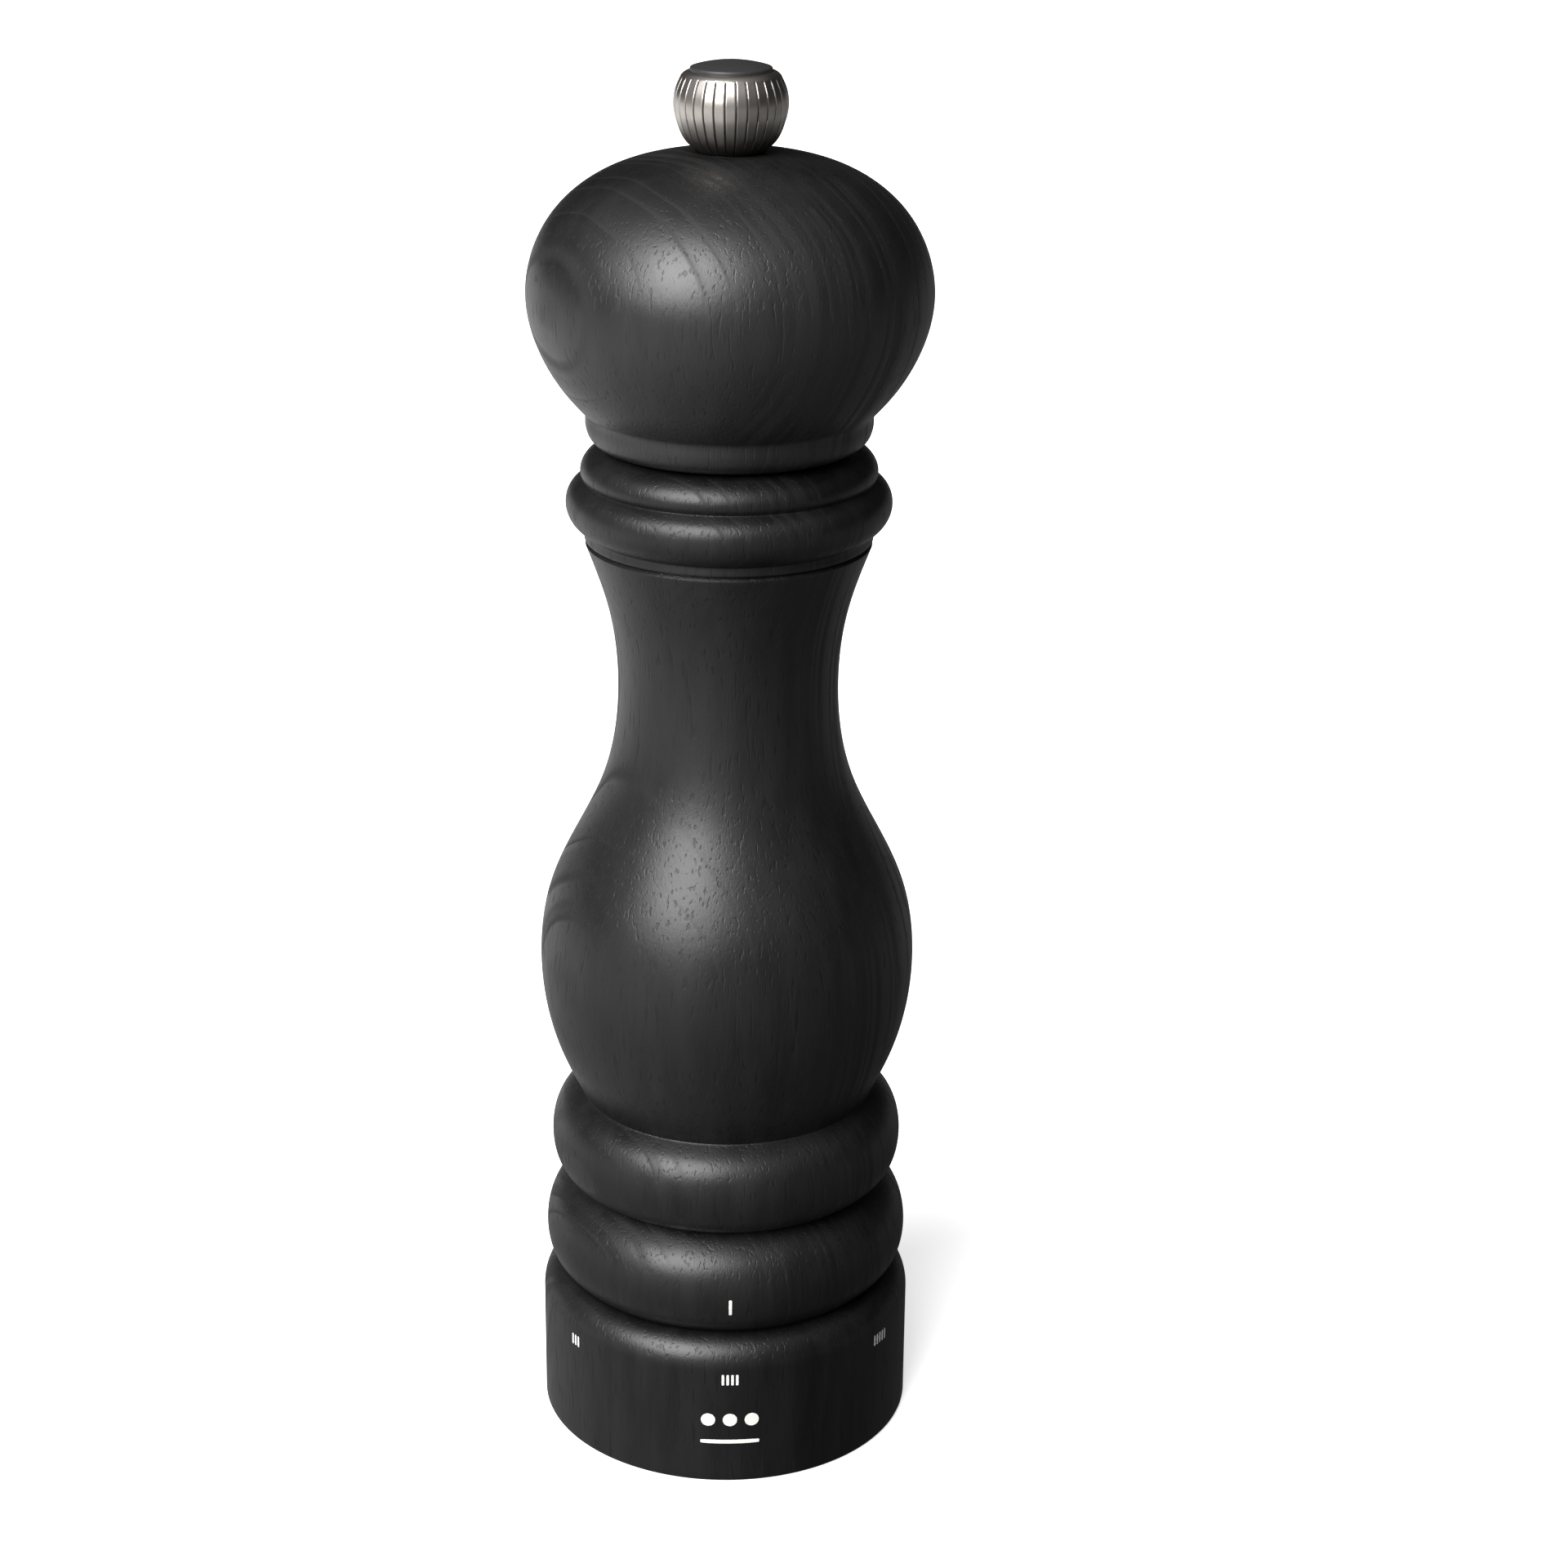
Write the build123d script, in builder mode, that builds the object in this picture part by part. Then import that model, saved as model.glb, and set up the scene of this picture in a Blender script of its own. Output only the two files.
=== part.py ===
from build123d import *
import math
import os

os.makedirs("parts", exist_ok=True)

# All sizes in millimetres, +Z up, origin at the middle of the base ring's underside.

# Outside of the mill
total_height = 221.6
base_radius = 30.2
seam_gap = 0.3
ring_top = 25.1
ring_wall_top = 20.2
ring_top_radius = 26.0
body_bottom = ring_top + seam_gap
body_top = 164.05
head_bottom = body_top + seam_gap
head_top = 208.3
neck_radius = 18.8
waist_radius = 17.2
belly_radius = 29.85
ball_radius = 30.6

# Bores in the wood
ring_bore = 23.1
mechanism_bore = 19.5
mechanism_bore_top = 54.5
chamber_radius = 11.8
chamber_start = 63.0
socket_radius = 14.2
socket_floor = 151.5
tenon_radius = 13.9
tenon_bottom = 152.1
spindle_bore = 4.3

# Screws: number 2 wood screws, the plate's screws are smaller
screw_radius = 0.75
screw_head_radius = 1.6
screw_slot_width = 0.5
screw_slot_depth = 0.4
screw_count = 3
pilot_radius = screw_radius + 0.05
housing_screw_circle = 20.9
housing_screw_top = 35.0
head_screw_circle = 8.3
head_screw_top = 162.0
plate_screw_scale = 0.6
plate_screw_circle = 18.3
plate_screw_top_depth = 7.0

# Drive plate and guide plate
drive_plate_radius = 11.0
drive_plate_thickness = 1.4
guide_plate_thickness = 2.0

# Spindle
spindle_side = 6.0
thread_radius = 2.45
spindle_foot = 3.3
square_start = 8.2
square_end = 206.5
spindle_tip = 217.0

# Fixed housing in the foot of the body
housing_outer = 19.4
housing_inner = 17.2
housing_top = 50.0
flange_radius = 22.6
flange_thickness = 1.6
flange_bottom = body_bottom - flange_thickness
skirt_outer = 19.3
skirt_bottom = 16.0
clip_groove_radius = 18.6
clip_bottom = 17.0
clip_thickness = 0.8
setting_count = 6
setting_step = 55.0
guide_count = 3
finger_bottom = 9.2
finger_width = 8.0
finger_outer = 18.9

# Adjuster sleeve, crown carrier and crown
running_gap = 0.05
sleeve_bottom = 3.0
sleeve_top = flange_bottom - seam_gap
sleeve_bearing_bottom = 18.0
sleeve_bearing_radius = skirt_outer + 0.1
sleeve_thread_radius = 21.0
carrier_bottom = 5.2
carrier_shoulder = 14.2
carrier_top = 21.6
carrier_neck = 16.9
carrier_bore = 16.3
carrier_lip_radius = 15.0
crown_bottom = 7.2
crown_throat = 17.5
crown_top = 20.4
crown_outer = 16.25
crown_teeth = 24

# Male grinder
cone_bottom = 5.8
cone_start = 7.0
cone_radius = 13.6
cone_slope = 0.4
cone_end = 20.5
grind_gap = 0.75
male_top = 33.0
male_teeth = 14

# Knob
knob_bottom = 208.4
knob_foot_radius = 4.8
knob_max_radius = 8.55
knob_rim = (7.4, 219.4)
knob_rib_count = 32
knob_cap_radius = 6.1
knob_cap_dome = 1.35
knob_cap_edge = total_height - knob_cap_dome
knob_insert_radius = 3.6
knob_insert_top = 217.6
washer_radius = 4.9
washer_recess_radius = 5.0
washer_thickness = 0.8
washer_bottom = head_top - washer_thickness


def countersunk_screw(head_z, tip_z, scale=1.0):
    """A screw pointing up: flat countersunk head with a slot, shank and a short point."""
    head_radius = screw_head_radius * scale
    shank = screw_radius * scale
    cone = head_radius - shank
    with BuildPart() as screw:
        with BuildSketch(Plane.XZ):
            with BuildLine():
                Polyline(
                    (0, head_z),
                    (head_radius, head_z),
                    (shank, head_z + cone),
                    (shank, tip_z - shank),
                    (0, tip_z),
                    close=True,
                )
            make_face()
        revolve(axis=Axis.Z)
        with BuildSketch(Plane.XY.offset(head_z)):
            Rectangle(2 * head_radius, screw_slot_width * scale)
        extrude(amount=screw_slot_depth * scale, mode=Mode.SUBTRACT)
    return screw.part


def countersunk_hole(face_z, exit_z, scale=1.0):
    """The matching cutter: the same cone with a little room round the shank."""
    mouth = screw_head_radius * scale + running_gap
    shank = screw_radius * scale + running_gap
    with BuildPart() as cutter:
        with BuildSketch(Plane.XZ):
            with BuildLine():
                Polyline(
                    (0, face_z),
                    (mouth, face_z),
                    (shank, face_z + mouth - shank),
                    (shank, exit_z),
                    (0, exit_z),
                    close=True,
                )
            make_face()
        revolve(axis=Axis.Z)
    return cutter.part


def save(part, name):
    """Label one finished piece and write its STEP file."""
    part.label = name
    export_step(part, f"parts/{name}.step")


# Base ring: straight wall, rounded shoulder running in to the seam
with BuildPart() as base_ring:
    with BuildSketch(Plane.XZ):
        with BuildLine():
            foot = Line((ring_bore, 0), (base_radius - 0.8, 0))
            toe = RadiusArc(foot @ 1, (base_radius, 0.8), -0.8)
            wall = Line(toe @ 1, (base_radius, ring_wall_top))
            shoulder = EllipticalCenterArc(
                (ring_top_radius, ring_wall_top),
                base_radius - ring_top_radius,
                ring_top - ring_wall_top,
                start_angle=0,
                arc_size=90,
            )
            top = Line(shoulder @ 1, (ring_bore, ring_top))
            Line(top @ 1, foot @ 0)
        make_face()
    revolve(axis=Axis.Z)
save(base_ring.part, "base_ring")

# Body: two beads, belly, waist, fine V groove, collar bead, neck bead
lower_groove = (22.9, 40.8)
upper_groove = (23.5, 57.6)
vee_groove_z = 149.3
with BuildPart() as body_shell:
    with BuildSketch(Plane.XZ):
        with BuildLine():
            underside = Line((mechanism_bore, body_bottom), (26.1, body_bottom))
            lower_bead = Spline(
                underside @ 1, (28.3, 27.7), (29.5, 33.2), (27.7, 38.6), lower_groove
            )
            upper_bead = Spline(lower_bead @ 1, (26.3, 42.8), (28.4, 49.2), (26.2, 55.6), upper_groove)
            belly = Spline(
                upper_bead @ 1,
                (27.1, 65.0),
                (belly_radius, 80.4),
                (28.2, 91.8),
                (24.2, 100.7),
                (19.85, 109.8),
                (waist_radius, 126.5),
                (18.6, 138.4),
                (22.1, vee_groove_z - 0.4),
            )
            vee_in = Line(belly @ 1, (21.5, vee_groove_z))
            vee_out = Line(vee_in @ 1, (22.2, vee_groove_z + 0.4))
            fillet_band = Line(vee_out @ 1, (22.1, 151.0))
            collar = Spline(
                fillet_band @ 1,
                (23.8, 152.3),
                (25.0, 155.0),
                (24.1, 157.8),
                (22.3, 159.0),
                tangents=((1, 0.3), (-1, 0.2)),
            )
            neck_bead = Spline(
                collar @ 1,
                (22.7, 159.9),
                (22.1, 162.0),
                (neck_radius, body_top),
                tangents=((1, 1), (-1, 0.2)),
            )
            rim = Line(neck_bead @ 1, (socket_radius, body_top))
            socket_wall = Line(rim @ 1, (socket_radius, socket_floor))
            socket_base = Line(socket_wall @ 1, (chamber_radius, socket_floor))
            chamber_wall = Line(socket_base @ 1, (chamber_radius, chamber_start))
            funnel = Line(chamber_wall @ 1, (mechanism_bore - 3, mechanism_bore_top))
            ledge = Line(funnel @ 1, (mechanism_bore, mechanism_bore_top))
            Line(ledge @ 1, underside @ 0)
        make_face()
    revolve(axis=Axis.Z)
    # Pilot holes for the housing screws
    with BuildSketch(Plane.XY.offset(body_bottom)):
        with PolarLocations(housing_screw_circle, screw_count):
            Circle(pilot_radius)
    extrude(amount=housing_screw_top - body_bottom, mode=Mode.SUBTRACT)
save(body_shell.part, "body_shell")

# Head: tenon, small bead above the seam, then the ball
plate_seat = tenon_bottom + drive_plate_thickness
with BuildPart() as head_shell:
    with BuildSketch(Plane.XZ):
        with BuildLine():
            tenon_face = Line((drive_plate_radius, tenon_bottom), (tenon_radius, tenon_bottom))
            tenon_wall = Line(tenon_face @ 1, (tenon_radius, head_bottom))
            seat = Line(tenon_wall @ 1, (neck_radius, head_bottom))
            small_bead = Spline(seat @ 1, (21.5, 166.1), (21.9, 167.6), tangents=((1, 0.3), (0, 1)))
            bead_wall = Line(small_bead @ 1, (21.9, 169.0))
            step_out = Line(bead_wall @ 1, (22.1, 169.5))
            ball = Spline(
                step_out @ 1,
                (24.7, 172.4),
                (28.8, 179.2),
                (ball_radius, 186.8),
                (26.7, 198.9),
                (16.4, 206.5),
                (7.4, head_top),
                tangents=((1, 0.75), (-1, 0.08)),
            )
            crown_flat = Line(ball @ 1, (washer_recess_radius, head_top))
            washer_wall = Line(crown_flat @ 1, (washer_recess_radius, washer_bottom))
            washer_floor = Line(washer_wall @ 1, (spindle_bore, washer_bottom))
            bore = Line(washer_floor @ 1, (spindle_bore, plate_seat))
            plate_floor = Line(bore @ 1, (drive_plate_radius, plate_seat))
            Line(plate_floor @ 1, tenon_face @ 0)
        make_face()
    revolve(axis=Axis.Z)
    with BuildSketch(Plane.XY.offset(plate_seat)):
        with PolarLocations(head_screw_circle, screw_count):
            Circle(pilot_radius)
    extrude(amount=head_screw_top - plate_seat, mode=Mode.SUBTRACT)
save(head_shell.part, "head_shell")

# Drive plate: square hole on the spindle, flush screws
plate_hole_side = spindle_side + 0.2
plate_hole = countersunk_hole(tenon_bottom, plate_seat)
with BuildPart() as drive_plate:
    with BuildSketch(Plane.XY.offset(tenon_bottom)):
        Circle(drive_plate_radius)
        Rectangle(plate_hole_side, plate_hole_side, mode=Mode.SUBTRACT)
    extrude(amount=drive_plate_thickness)
    with PolarLocations(head_screw_circle, screw_count):
        add(plate_hole, mode=Mode.SUBTRACT)
save(drive_plate.part, "drive_plate")

head_screw = countersunk_screw(tenon_bottom, head_screw_top)
with BuildPart() as drive_plate_screws:
    with PolarLocations(head_screw_circle, screw_count):
        add(head_screw)
save(drive_plate_screws.part, "drive_plate_screws")

# Mechanism housing: cup in the body, flange under it, skirt with clip groove and click notches,
# three fingers that keep the crown carrier from turning
notch_radius = 0.6
notch_range = (setting_count - 1) * setting_step
housing_hole = countersunk_hole(flange_bottom, body_bottom)
guide_screw_tip = housing_top - plate_screw_top_depth
with BuildPart() as mechanism_housing:
    with BuildSketch(Plane.XY.offset(body_bottom)):
        Circle(housing_outer)
    extrude(amount=housing_top - body_bottom)
    with BuildSketch(Plane.XY.offset(flange_bottom)):
        Circle(flange_radius)
    extrude(amount=flange_thickness)
    with BuildSketch(Plane.XY.offset(skirt_bottom)):
        Circle(skirt_outer)
    extrude(amount=flange_bottom - skirt_bottom)
    with BuildSketch(Plane.XY.offset(clip_bottom)):
        Circle(skirt_outer)
        Circle(clip_groove_radius, mode=Mode.SUBTRACT)
    extrude(amount=clip_thickness, mode=Mode.SUBTRACT)
    with BuildSketch(Plane.XY.offset(sleeve_bearing_bottom)):
        with PolarLocations(skirt_outer, setting_count, angular_range=notch_range, endpoint=True):
            Circle(notch_radius)
    extrude(amount=sleeve_top - sleeve_bearing_bottom, mode=Mode.SUBTRACT)
    with BuildSketch(Plane.XY.offset(skirt_bottom)):
        Circle(housing_inner)
    extrude(amount=housing_top - skirt_bottom, mode=Mode.SUBTRACT)
    with BuildSketch(Plane.XY.offset(finger_bottom)):
        with PolarLocations(housing_inner, guide_count):
            Rectangle(2 * (finger_outer - housing_inner), finger_width)
        Circle(housing_inner, mode=Mode.SUBTRACT)
        Circle(finger_outer, mode=Mode.INTERSECT)
    extrude(amount=skirt_bottom - finger_bottom)
    with PolarLocations(housing_screw_circle, screw_count):
        add(housing_hole, mode=Mode.SUBTRACT)
    with BuildSketch(Plane.XY.offset(guide_screw_tip)):
        with PolarLocations(plate_screw_circle, screw_count):
            Circle(screw_radius * plate_screw_scale + running_gap)
    extrude(amount=plate_screw_top_depth, mode=Mode.SUBTRACT)
save(mechanism_housing.part, "mechanism_housing")

housing_screw = countersunk_screw(flange_bottom, housing_screw_top)
with BuildPart() as housing_screws:
    with PolarLocations(housing_screw_circle, screw_count):
        add(housing_screw)
save(housing_screws.part, "housing_screws")

# Guide plate: outer ring, two arms and a hub, screwed on top of the housing
arm_count = 2
guide_hub_radius = 8.0
bush_radius = 5.5
arm_width = 4.0
guide_plate_top = housing_top + guide_plate_thickness
with BuildPart() as guide_plate:
    with BuildSketch(Plane.XY.offset(housing_top)):
        Circle(housing_outer - 0.1)
        Circle(housing_inner - 0.4, mode=Mode.SUBTRACT)
        Circle(guide_hub_radius)
        with PolarLocations(housing_inner / 2, arm_count, start_angle=90):
            Rectangle(housing_inner, arm_width)
        Circle(bush_radius + running_gap, mode=Mode.SUBTRACT)
    extrude(amount=guide_plate_thickness)
    with BuildSketch(Plane.XY.offset(housing_top)):
        with PolarLocations(plate_screw_circle, screw_count):
            Circle(screw_radius * plate_screw_scale + running_gap)
    extrude(amount=guide_plate_thickness, mode=Mode.SUBTRACT)
save(guide_plate.part, "guide_plate")

# Small pan-head screws, heads on top of the guide plate
pan_radius = 0.95
pan_height = 0.7
with BuildPart() as guide_plate_screws:
    with BuildSketch(Plane.XY.offset(guide_screw_tip + 0.5)):
        with PolarLocations(plate_screw_circle, screw_count):
            Circle(screw_radius * plate_screw_scale)
    extrude(amount=guide_plate_top - guide_screw_tip - 0.5)
    with BuildSketch(Plane.XY.offset(guide_plate_top)):
        with PolarLocations(plate_screw_circle, screw_count):
            Circle(pan_radius)
    extrude(amount=pan_height)
save(guide_plate_screws.part, "guide_plate_screws")

# Clip that keeps the adjuster sleeve on the skirt
clip_outer = 20.6
clip_opening = 7.0
with BuildPart() as adjuster_circlip:
    with BuildSketch(Plane.XY.offset(clip_bottom + running_gap)):
        Circle(clip_outer)
        Circle(clip_groove_radius + running_gap, mode=Mode.SUBTRACT)
        with Locations((0, -clip_outer)):
            Rectangle(clip_opening, clip_outer / 2, mode=Mode.SUBTRACT)
    extrude(amount=clip_thickness - 2 * running_gap)
save(adjuster_circlip.part, "adjuster_circlip")

# Adjuster sleeve: pressed in the base ring, turns on the skirt, its lower bore takes the carrier
grip_rib_count = 18
with BuildPart() as adjuster_sleeve:
    with BuildSketch(Plane.XY.offset(sleeve_bottom)):
        Circle(ring_bore)
    extrude(amount=sleeve_top - sleeve_bottom)
    with BuildSketch(Plane.XY.offset(sleeve_bearing_bottom)):
        Circle(sleeve_bearing_radius)
    extrude(amount=sleeve_top - sleeve_bearing_bottom, mode=Mode.SUBTRACT)
    with BuildSketch(Plane.XY.offset(sleeve_bottom)):
        Circle(sleeve_thread_radius)
    extrude(amount=sleeve_bearing_bottom - sleeve_bottom, mode=Mode.SUBTRACT)
    with BuildSketch(Plane.XY.offset(sleeve_bottom + 3.0)):
        with PolarLocations(ring_bore, grip_rib_count):
            Circle(0.7)
    extrude(amount=sleeve_top - sleeve_bottom, mode=Mode.SUBTRACT)
save(adjuster_sleeve.part, "adjuster_sleeve")

# Crown carrier: threaded flange with three guide slots, neck round the crown, lip under it
slot_bottom = 7.7
slot_play = 0.2
slot_inner = housing_inner - slot_play
slot_outer = finger_outer + slot_play
with BuildPart() as crown_carrier:
    with BuildSketch(Plane.XY.offset(carrier_bottom)):
        Circle(sleeve_thread_radius - running_gap)
    extrude(amount=carrier_shoulder - carrier_bottom)
    with BuildSketch(Plane.XY.offset(carrier_shoulder)):
        Circle(carrier_neck)
    extrude(amount=carrier_top - carrier_shoulder)
    with BuildSketch(Plane.XY.offset(crown_bottom)):
        Circle(carrier_bore)
    extrude(amount=carrier_top - crown_bottom, mode=Mode.SUBTRACT)
    with BuildSketch(Plane.XY.offset(carrier_bottom)):
        Circle(carrier_lip_radius)
    extrude(amount=crown_bottom - carrier_bottom, mode=Mode.SUBTRACT)
    with BuildSketch(Plane.XY.offset(slot_bottom)):
        with PolarLocations(slot_inner, guide_count):
            Rectangle(2 * (slot_outer - slot_inner), finger_width + 2 * slot_play)
        Circle(slot_inner, mode=Mode.SUBTRACT)
        Circle(slot_outer, mode=Mode.INTERSECT)
    extrude(amount=carrier_shoulder - slot_bottom, mode=Mode.SUBTRACT)
save(crown_carrier.part, "crown_carrier")

# Female crown: conical throat that flares at the top, slanted teeth all round
throat_radius = cone_radius + grind_gap - cone_slope * (crown_throat - cone_start)
mouth_radius = cone_radius + grind_gap - cone_slope * (crown_bottom - cone_start)
crown_mouth_top = 14.6
tooth_depth = 0.9
tooth_lean = 18.0


def tooth_outline(radius, width, depth, angle, height, outward):
    """A triangle at one height: wide side on the grinding face, point into the metal."""
    side = 1 if outward else -1
    with BuildSketch(Plane.XY.offset(height)) as outline:
        with BuildLine(Plane.XY.rotated((0, 0, angle))):
            Polyline(
                (radius - side * 0.6, -width),
                (radius + side * depth, 0),
                (radius - side * 0.6, width),
                close=True,
            )
        make_face()
    return outline.sketch


with BuildPart() as crown_tooth:
    tooth_low = tooth_outline(mouth_radius + 0.2, 1.3, tooth_depth, 0, crown_bottom - 0.5, True)
    tooth_high = tooth_outline(throat_radius, 1.0, tooth_depth, tooth_lean, crown_throat + 0.3, True)
    loft([tooth_low, tooth_high], ruled=True)
with BuildPart() as female_crown:
    with BuildSketch(Plane.XZ):
        with BuildLine():
            Polyline(
                (mouth_radius, crown_bottom),
                (crown_outer, crown_bottom),
                (crown_outer, crown_top),
                (crown_mouth_top, crown_top),
                (throat_radius, crown_throat),
                close=True,
            )
        make_face()
    revolve(axis=Axis.Z)
    with PolarLocations(0, crown_teeth):
        add(crown_tooth.part, mode=Mode.SUBTRACT)
save(female_crown.part, "female_crown")

with BuildPart() as crown_retainer:
    with BuildSketch(Plane.XY.offset(crown_top)):
        Circle(crown_outer)
        Circle(crown_mouth_top + 0.5, mode=Mode.SUBTRACT)
        with Locations((crown_outer, 0)):
            Rectangle(5, 3, mode=Mode.SUBTRACT)
    extrude(amount=clip_thickness)
save(crown_retainer.part, "crown_retainer")

# Male grinder: fine teeth on the cone, three feed blades above it
cone_top_radius = cone_radius - cone_slope * (cone_end - cone_start)
feed_core = 6.2
blade_count = 3
blade_reach = 9.0
socket_play = 0.05
with BuildPart() as male_tooth:
    groove_low = tooth_outline(cone_radius, 1.0, 0.7, 0, cone_bottom - 0.5, False)
    groove_high = tooth_outline(cone_top_radius, 0.9, 0.8, -25.0, cone_end + 0.3, False)
    loft([groove_low, groove_high], ruled=True)
with BuildPart() as feed_blade:
    with BuildSketch(Plane.XY.offset(cone_end)):
        with Locations((blade_reach / 2, 0)):
            Rectangle(blade_reach, 2.6)
    with BuildSketch(Plane.XY.offset(male_top).rotated((0, 0, -50))):
        with Locations((feed_core / 2, 0)):
            Rectangle(feed_core, 2.0)
    loft(ruled=True)
with BuildPart() as male_grinder:
    with BuildSketch(Plane.XZ):
        with BuildLine():
            Polyline(
                (0, cone_bottom),
                (cone_radius, cone_bottom),
                (cone_radius, cone_start),
                (cone_top_radius, cone_end),
                (feed_core, cone_end + 1.5),
                (feed_core, male_top),
                (0, male_top),
                close=True,
            )
        make_face()
    revolve(axis=Axis.Z)
    with PolarLocations(0, male_teeth):
        add(male_tooth.part, mode=Mode.SUBTRACT)
    with PolarLocations(0, blade_count):
        add(feed_blade.part)
    with BuildSketch(Plane.XY.offset(square_start)):
        Rectangle(spindle_side + 2 * socket_play, spindle_side + 2 * socket_play)
    extrude(amount=male_top - square_start, mode=Mode.SUBTRACT)
    with BuildSketch(Plane.XY.offset(cone_bottom)):
        Circle(thread_radius + running_gap)
    extrude(amount=square_start - cone_bottom, mode=Mode.SUBTRACT)
save(male_grinder.part, "male_grinder")

# Spindle: square rod, threaded foot and threaded tip
with BuildPart() as spindle:
    with BuildSketch(Plane.XY.offset(spindle_foot)):
        Circle(thread_radius)
    extrude(amount=square_start - spindle_foot)
    with BuildSketch(Plane.XY.offset(square_start)):
        Rectangle(spindle_side, spindle_side)
        fillet(vertices(), radius=0.4)
    extrude(amount=square_end - square_start)
    with BuildSketch(Plane.XY.offset(square_end)):
        Circle(thread_radius)
    extrude(amount=spindle_tip - square_end)
    chamfer(faces().sort_by(Axis.Z)[-1].edges(), length=0.5)
save(spindle.part, "spindle")

nut_across_flats = 8.0
with BuildPart() as grinder_nut:
    with BuildSketch(Plane.XY.offset(spindle_foot + 0.2)):
        RegularPolygon(nut_across_flats / 2, 6, major_radius=False)
        Circle(thread_radius, mode=Mode.SUBTRACT)
    extrude(amount=cone_bottom - spindle_foot - 0.2)
save(grinder_nut.part, "grinder_nut")

# Bush with a flange that stands on the guide plate, clip above it
bush_flange_radius = 6.8
bush_bottom = housing_top - 1.2
bush_top = guide_plate_top + 1.0
with BuildPart() as spindle_bush:
    with BuildSketch(Plane.XY.offset(bush_bottom)):
        Circle(bush_radius)
    extrude(amount=guide_plate_top + running_gap - bush_bottom)
    with BuildSketch(Plane.XY.offset(guide_plate_top + running_gap)):
        Circle(bush_flange_radius)
    extrude(amount=bush_top - guide_plate_top - running_gap)
    with BuildSketch(Plane.XY.offset(bush_bottom)):
        Rectangle(spindle_side + 2 * socket_play, spindle_side + 2 * socket_play)
    extrude(amount=bush_top - bush_bottom, mode=Mode.SUBTRACT)
save(spindle_bush.part, "spindle_bush")

with BuildPart() as spindle_clip:
    with BuildSketch(Plane.XY.offset(bush_top)):
        Circle(bush_flange_radius - 0.3)
        Rectangle(spindle_side, spindle_side, mode=Mode.SUBTRACT)
        with PolarLocations(bush_flange_radius - 0.3, 4, start_angle=45):
            Circle(1.2, mode=Mode.SUBTRACT)
    extrude(amount=0.6)
save(spindle_clip.part, "spindle_clip")

# Compression spring between the guide plate's bush and the male grinder
spring_wire = 0.45
spring_radius = 5.0
spring_turns = 7
spring_low = male_top + spring_wire + running_gap
spring_high = bush_bottom - spring_wire - running_gap
with BuildPart() as spindle_spring:
    with BuildLine() as coil:
        Helix(
            pitch=(spring_high - spring_low) / spring_turns,
            height=spring_high - spring_low,
            radius=spring_radius,
            center=(0, 0, spring_low),
        )
    with BuildSketch(Plane(origin=coil.line @ 0, z_dir=coil.line % 0)):
        Circle(spring_wire)
    sweep()
save(spindle_spring.part, "spindle_spring")

# Washer in the top of the head
with BuildPart() as knob_washer:
    with BuildSketch(Plane.XY.offset(washer_bottom)):
        Circle(washer_radius)
        Circle(thread_radius + 0.3, mode=Mode.SUBTRACT)
    extrude(amount=washer_thickness)
save(knob_washer.part, "knob_washer")

# Knob: flattened ball on a narrow foot, smooth lip, vertical grooves between its flat ribs
rib_groove_width = 0.35
rib_groove_depth = 0.35
pocket_floor = knob_cap_edge - 1.0
pocket_radius = knob_cap_radius + running_gap


def knob_side(inset):
    """Spline down the knob's side, set in from the surface, from rim to foot."""
    rim_radius, rim_z = knob_rim
    return Spline(
        (rim_radius - inset, rim_z),
        (8.1 - inset, 217.9),
        (knob_max_radius - inset, 215.6),
        (8.0 - inset, 212.6),
        (6.6 - inset, 209.8),
        (knob_foot_radius - inset, knob_bottom),
    )


with BuildPart() as rib_groove:
    with BuildSketch(Plane.XZ):
        with BuildLine():
            inner_side = knob_side(rib_groove_depth)
            outside = knob_max_radius + 1.0
            Polyline(inner_side @ 1, (outside, knob_bottom), (outside, knob_rim[1]), inner_side @ 0)
        make_face()
    extrude(amount=rib_groove_width / 2, both=True)
with BuildPart() as knob:
    with BuildSketch(Plane.XZ):
        with BuildLine():
            side = knob_side(0)
            foot_line = Line(side @ 1, (knob_insert_radius, knob_bottom))
            insert_wall = Line(foot_line @ 1, (knob_insert_radius, knob_insert_top))
            insert_end = Line(insert_wall @ 1, (0, knob_insert_top))
            axis_line = Line(insert_end @ 1, (0, pocket_floor))
            pocket = Line(axis_line @ 1, (pocket_radius, pocket_floor))
            pocket_wall = Line(pocket @ 1, (pocket_radius, knob_cap_edge - 0.1))
            ThreePointArc(pocket_wall @ 1, (6.9, knob_cap_edge - 0.35), side @ 0)
        make_face()
    revolve(axis=Axis.Z)
    with PolarLocations(0, knob_rib_count):
        add(rib_groove.part, mode=Mode.SUBTRACT)
save(knob.part, "knob")

# Cap: disc with a domed top, the dome's radius from its chord and height
dome_radius = (knob_cap_radius**2 + knob_cap_dome**2) / (2 * knob_cap_dome)
with BuildPart() as knob_cap:
    with BuildSketch(Plane.XZ):
        with BuildLine():
            cap_bottom = Line((0, pocket_floor), (knob_cap_radius, pocket_floor))
            cap_wall = Line(cap_bottom @ 1, (knob_cap_radius, knob_cap_edge))
            dome = RadiusArc(cap_wall @ 1, (0, total_height), -dome_radius)
            Line(dome @ 1, cap_bottom @ 0)
        make_face()
    revolve(axis=Axis.Z)
save(knob_cap.part, "knob_cap")

with BuildPart() as knob_insert:
    with BuildSketch(Plane.XY.offset(knob_bottom + 0.2)):
        Circle(knob_insert_radius)
        Circle(thread_radius + running_gap, mode=Mode.SUBTRACT)
    extrude(amount=knob_insert_top - knob_bottom - 0.2)
save(knob_insert.part, "knob_insert")
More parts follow.
